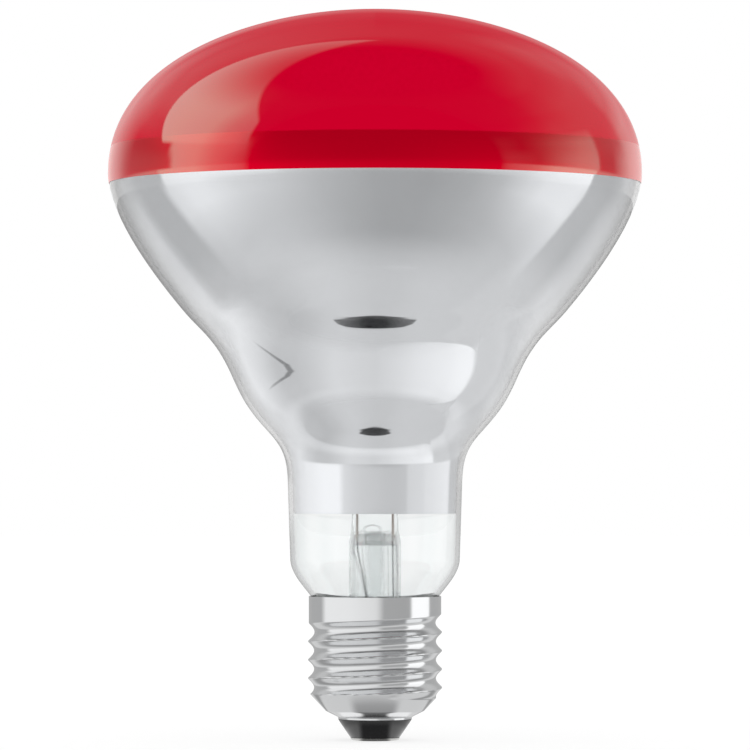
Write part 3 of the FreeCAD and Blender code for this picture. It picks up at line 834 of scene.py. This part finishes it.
# What the mirror's belt and bowl show: steeper rays, row by row upwards from the wall's foot.
belt_glow = fade_rows(tree, way, level_round(tree, way, foot_levels), [
    (0.004, 0.020, [
        (-180, 62), (-135, 68), (-120, 69), (-105, 62), (-90, 55), (-75, 50), (-60, 54), (-45, 63),
        (-30, 68), (-15, 65), (0, 63), (15, 66), (30, 74), (45, 79), (60, 75), (71, 72), (79, 58),
        (105, 56), (120, 60), (180, 62)]),
    (0.020, 0.034, [
        (-180, 72), (-135, 72), (-120, 77), (-105, 78), (-90, 63), (-75, 54), (-60, 54), (-45, 61),
        (-30, 70), (-15, 67), (0, 64), (15, 71), (30, 80), (45, 86), (60, 90), (73, 92), (77, 60),
        (105, 59), (120, 63), (135, 66), (180, 70)]),
    (0.036, 0.046, [
        (-180, 93), (-150, 94), (-135, 76), (-120, 74), (-105, 84), (-90, 70), (-75, 52), (-60, 51),
        (-45, 58), (-30, 70), (-15, 66), (0, 64), (15, 72), (30, 82), (45, 88), (60, 94), (73, 95),
        (77, 61), (90, 59), (105, 63), (120, 76), (135, 75), (150, 75), (180, 80)])])

# The throat shows the wall's foot by rays that are less steep, where the card is lit more.
less_steep = add_node(tree, "ShaderNodeMapRange", soft_steps, values={
    "From Min": 0.33, "From Max": 0.44, "To Min": 1.0, "To Max": 0.0}, links={
    "Value": slant.outputs["Facing"]})
near_foot = add_node(tree, "ShaderNodeMapRange", soft_steps, values={
    "From Min": 0.014, "From Max": 0.032, "To Min": 0.14, "To Max": 0.0}, links={"Value": way.outputs["Z"]})
throat_extra = add_node(tree, "ShaderNodeMath", {"operation": "MULTIPLY"}, links={
    0: less_steep.outputs["Result"], 1: near_foot.outputs["Result"]})
belt_glow = add_node(tree, "ShaderNodeVectorMath", {"operation": "ADD"}, links={
    0: belt_glow, 1: throat_extra.outputs["Value"]}).outputs["Vector"]
to_belt = add_node(tree, "ShaderNodeMapRange", soft_steps, values={
    "From Min": 0.052, "From Max": 0.070}, links={"Value": slant.outputs["Facing"]})
mirror_glow = add_node(tree, "ShaderNodeMix", in_colour, links={
    0: to_belt.outputs["Result"], 6: neck_glow.outputs[2], 7: belt_glow})

# A thin dark edge on the left, which the mirror's belt bends into a pointed mark.
edge_height = 0.0446
off_edge = add_node(tree, "ShaderNodeMath", {"operation": "SUBTRACT"}, values={1: edge_height}, links={
    0: way.outputs["Z"]})
off_edge = add_node(tree, "ShaderNodeMath", {"operation": "ABSOLUTE"}, links={0: off_edge.outputs["Value"]})
on_edge = add_node(tree, "ShaderNodeMapRange", soft_steps, values={
    "From Min": 0.0003, "From Max": 0.0009, "To Min": 1.0, "To Max": 0.0}, links={
    "Value": off_edge.outputs["Value"]})
edge_part = level_round(tree, way, [(-94, 0), (-84, 60), (-70, 100), (-56, 100), (-54, 0)])
dark_edge = add_node(tree, "ShaderNodeMath", {"operation": "MULTIPLY"}, links={
    0: on_edge.outputs["Result"], 1: edge_part})
from_belt = add_node(tree, "ShaderNodeMath", {"operation": "COMPARE"}, values={1: 0.225, 2: 0.105}, links={
    0: slant.outputs["Facing"]})
dark_edge = add_node(tree, "ShaderNodeMath", {"operation": "MULTIPLY"}, links={
    0: dark_edge.outputs["Value"], 1: from_belt.outputs["Value"]})
mirror_glow = add_node(tree, "ShaderNodeMix", in_colour, values={7: (0.2, 0.2, 0.2, 1)}, links={
    0: dark_edge.outputs["Value"], 6: mirror_glow.outputs[2]})
glow = add_node(tree, "ShaderNodeMix", in_colour, links={
    0: by_mirror, 6: cap_glow.outputs[2], 7: mirror_glow.outputs[2]})
shine = add_node(tree, "ShaderNodeEmission", links={"Color": glow.outputs[2]})

# The mirror sees the wall up to a height, and past it wherever its rays fall more steeply than this.
neck_part = add_node(tree, "ShaderNodeMapRange", soft_steps, values={
    "From Min": 0.049, "From Max": 0.052, "To Min": 1.0, "To Max": 0.0}, links={"Value": way.outputs["Z"]})
belt_part = add_node(tree, "ShaderNodeMapRange", soft_steps, values={
    "From Min": 0.056, "From Max": 0.066, "To Min": 1.0, "To Max": 0.0}, links={"Value": way.outputs["Z"]})
tall_part = add_node(tree, "ShaderNodeMix", {"data_type": "FLOAT"}, links={
    0: to_belt.outputs["Result"], 2: neck_part.outputs["Result"], 3: belt_part.outputs["Result"]})
steeper_above = add_node(tree, "ShaderNodeMapRange", values={
    "From Min": 0.044, "From Max": 0.069, "To Min": 0.0, "To Max": 0.5}, links={"Value": way.outputs["Z"]})
steepness = add_node(tree, "ShaderNodeMath", {"operation": "ADD"}, links={
    0: slant.outputs["Facing"], 1: steeper_above.outputs["Result"]})
limit = level_round(tree, way, [
    (-180, 55), (0, 57), (10, 62), (19.4, 62.5), (36.6, 58.1), (51.3, 52.3), (65, 43.5), (71, 38.5),
    (75.1, 33.5), (77.5, 31), (82, 42), (100, 50), (180, 50)])
softness = level_round(tree, way, [
    (-180, 20), (0, 20), (15, 10), (25, 2), (78, 1.2), (84, 10), (100, 20), (180, 20)])
past_limit = add_node(tree, "ShaderNodeMath", {"operation": "SUBTRACT"}, links={
    0: steepness.outputs["Value"], 1: limit})
past_limit = add_node(tree, "ShaderNodeMath", {"operation": "DIVIDE"}, links={
    0: past_limit.outputs["Value"], 1: softness})
flat_part = add_node(tree, "ShaderNodeMapRange", values={
    "From Min": -0.5, "From Max": 0.5, "To Min": 1.0, "To Max": 0.0}, links={
    "Value": past_limit.outputs["Value"]})
for_mirror = add_node(tree, "ShaderNodeMath", {"operation": "MULTIPLY"}, links={
    0: tall_part.outputs[0], 1: flat_part.outputs["Result"]})
there = add_node(tree, "ShaderNodeMix", {"data_type": "FLOAT"}, values={2: 1.0}, links={
    0: by_mirror, 3: for_mirror.outputs["Value"]})
shown = add_node(tree, "ShaderNodeMath", {"operation": "MULTIPLY"}, links={0: there.outputs[0], 1: patterned})
nothing = add_node(tree, "ShaderNodeBsdfTransparent")
card = add_node(tree, "ShaderNodeMixShader", links={
    0: shown.outputs["Value"], 1: nothing.outputs["BSDF"], 2: shine.outputs["Emission"]})
add_node(tree, "ShaderNodeOutputMaterial", links={"Surface": card.outputs["Shader"]})
card_wall.data.materials.append(wall_card)

world = bpy.data.worlds.new("studio")
bpy.context.scene.world = world
world.use_nodes = True
tree = world.node_tree
tree.nodes.clear()
rays, patterned, by_mirror = mirrored_rays(tree)
coords = add_node(tree, "ShaderNodeTexCoord")
way = add_node(tree, "ShaderNodeSeparateXYZ", links={"Vector": coords.outputs["Generated"]})

# Below the horizon, row by row downwards, as the mirror shows it.
lower = fade_rows(tree, way, level_round(tree, way, [
    (-180, 70), (-170, 58), (-155, 61), (-142, 60), (-134, 54), (-128, 48), (-108, 45), (-106, 84),
    (-90, 90), (-60, 92), (-46, 88), (-40, 72), (-30, 62), (-15, 53), (5, 50), (25, 51), (38, 56), (50, 68),
    (70, 72), (78, 84), (90, 92), (110, 96), (111, 45), (128, 44), (135, 50), (142, 64), (155, 70),
    (168, 87), (176, 94), (180, 70)]), [
    (-0.16, -0.32, [
        (-180, 90), (-145, 78), (-137, 72), (-133, 55), (-128, 46), (-112, 45), (-107, 74), (-95, 84),
        (-85, 84), (-65, 69), (-45, 59), (-25, 47), (0, 37), (25, 35), (45, 40), (60, 50), (75, 70),
        (85, 82), (105, 88), (110, 84), (112, 50), (128, 49), (138, 66), (148, 80), (180, 90)]),
    (-0.50, -0.74, [
        (-180, 62), (-145, 62), (-125, 50), (-108, 50), (-95, 58), (-75, 59), (-55, 56), (-35, 49),
        (-15, 41), (5, 36), (25, 36), (45, 40), (65, 46), (85, 54), (105, 57), (125, 59), (180, 62)])])

# Above it, row by row upwards, as the gloss on the red shows it, and black overhead.
upper = fade_rows(tree, way, level_round(tree, way, [
    (-180, 35), (-176, 45), (-172, 95), (-166, 86), (-158, 70), (-146, 48), (-136, 20), (-130, 12),
    (-99, 12), (-96, 72), (-72, 70), (-57, 50), (-48, 20), (-40, 12), (-20, 4), (0, 2), (15, 5), (35, 16),
    (58, 26), (66, 16), (74, 10), (82, 20), (90, 34), (98, 44), (111, 50), (113, 10), (124, 10), (133, 40),
    (142, 64), (164, 80), (174, 95), (180, 35)]), [
    (0.09, 0.20, [
        (-180, 25), (-172, 60), (-160, 75), (-150, 50), (-140, 27), (-130, 7), (-101, 7), (-98, 72),
        (-58, 72), (-54, 14), (-40, 10), (0, 2), (35, 12), (56, 12), (66, 3), (80, 14), (90, 25), (100, 38),
        (110, 44), (113, 12), (126, 14), (133, 20), (140, 50), (150, 62), (160, 55), (170, 45),
        (180, 25)]),
    (0.26, 0.38, [
        (-180, 10), (-170, 14), (-160, 40), (-150, 45), (-140, 30), (-128, 15), (-112, 10), (-65, 10),
        (-60, 2), (60, 2), (80, 6), (90, 12), (105, 14), (134, 15), (141, 28), (150, 31), (160, 28),
        (170, 11), (180, 8)]),
    (0.42, 0.55, [
        (-180, 7), (-170, 11), (-160, 16), (-150, 21), (-120, 21), (-65, 10), (-58, 2), (68, 2), (80, 3),
        (90, 7), (110, 13), (140, 15), (150, 20), (160, 19), (170, 7), (180, 6)]),
    (0.60, 0.74, [
        (-180, 8), (-160, 13), (-140, 12), (-60, 2), (80, 1), (110, 7), (150, 8), (170, 7), (180, 8)]),
    (0.78, 0.90, [(-180, 0), (180, 0)])])

# The left light panel, cut off by straight edges and fading towards its top.
panel = add_node(tree, "ShaderNodeMapRange", soft_steps, values={
    "From Min": 0.60, "From Max": 1.0, "To Min": 0.88, "To Max": 0.0}, links={"Value": way.outputs["Z"]})
panel_edges = [
    ((-0.700, 0.596, -0.394), 0.0, 0.014), ((-0.5446, 0.8387, 0.0), 0.0, 0.014),
    ((-0.097, -0.829, 0.551), 0.0, 0.010), ((0.0, 0.0, 1.0), 0.26, 0.02)]
inside = []
for normal, middle, soft in panel_edges:
    edge = add_node(tree, "ShaderNodeVectorMath", {"operation": "DOT_PRODUCT"}, values={1: normal}, links={
        0: coords.outputs["Generated"]})
    inside.append(add_node(tree, "ShaderNodeMapRange", values={
        "From Min": middle - soft, "From Max": middle + soft}, links={
        "Value": edge.outputs["Value"]}).outputs["Result"])
while len(inside) > 1:
    inside.append(add_node(tree, "ShaderNodeMath", {"operation": "MULTIPLY"}, links={
        0: inside.pop(), 1: inside.pop()}).outputs["Value"])
upper = add_node(tree, "ShaderNodeMix", in_colour, links={
    0: inside[0], 6: upper, 7: panel.outputs["Result"]})

above = add_node(tree, "ShaderNodeMapRange", values={
    "From Min": -0.07, "From Max": -0.03}, links={"Value": way.outputs["Z"]})
directly = add_node(tree, "ShaderNodeMath", {"operation": "SUBTRACT"}, values={0: 1.0}, links={1: by_mirror})
to_upper = add_node(tree, "ShaderNodeMath", {"operation": "MULTIPLY"}, links={
    0: above.outputs["Result"], 1: directly.outputs["Value"]})
surroundings = add_node(tree, "ShaderNodeMix", in_colour, links={
    0: to_upper.outputs["Value"], 6: lower, 7: upper.outputs[2]})
backdrop = add_node(tree, "ShaderNodeMix", in_colour, values={6: (1, 1, 1, 1)}, links={
    0: patterned, 7: surroundings.outputs[2]})
looked_at = add_node(tree, "ShaderNodeMath", {"operation": "MAXIMUM"}, links={
    0: rays.outputs["Is Camera Ray"], 1: rays.outputs["Is Glossy Ray"]})
looked_at = add_node(tree, "ShaderNodeMath", {"operation": "MAXIMUM"}, links={
    0: looked_at.outputs["Value"], 1: rays.outputs["Is Transmission Ray"]})
light = add_node(tree, "ShaderNodeMix", in_colour, values={6: (0.96, 0.96, 0.96, 1)}, links={
    0: looked_at.outputs["Value"], 7: backdrop.outputs[2]})
background = add_node(tree, "ShaderNodeBackground", links={"Color": light.outputs[2]})
add_node(tree, "ShaderNodeOutputWorld", links={"Surface": background.outputs["Background"]})


# Camera: a long lens a metre away, a little above the cap and tilted slightly up.
camera_distance = 0.985
camera_height = 0.0531
camera_pitch = 91.09
lens_length = 240
film_width = 36

bpy.ops.object.camera_add(
    location=(0, -camera_distance, camera_height), rotation=(math.radians(camera_pitch), 0, 0))
camera = bpy.context.object
camera.data.lens = lens_length
camera.data.sensor_width = film_width
bpy.context.scene.camera = camera

scene = bpy.context.scene
scene.view_settings.view_transform = "Standard"
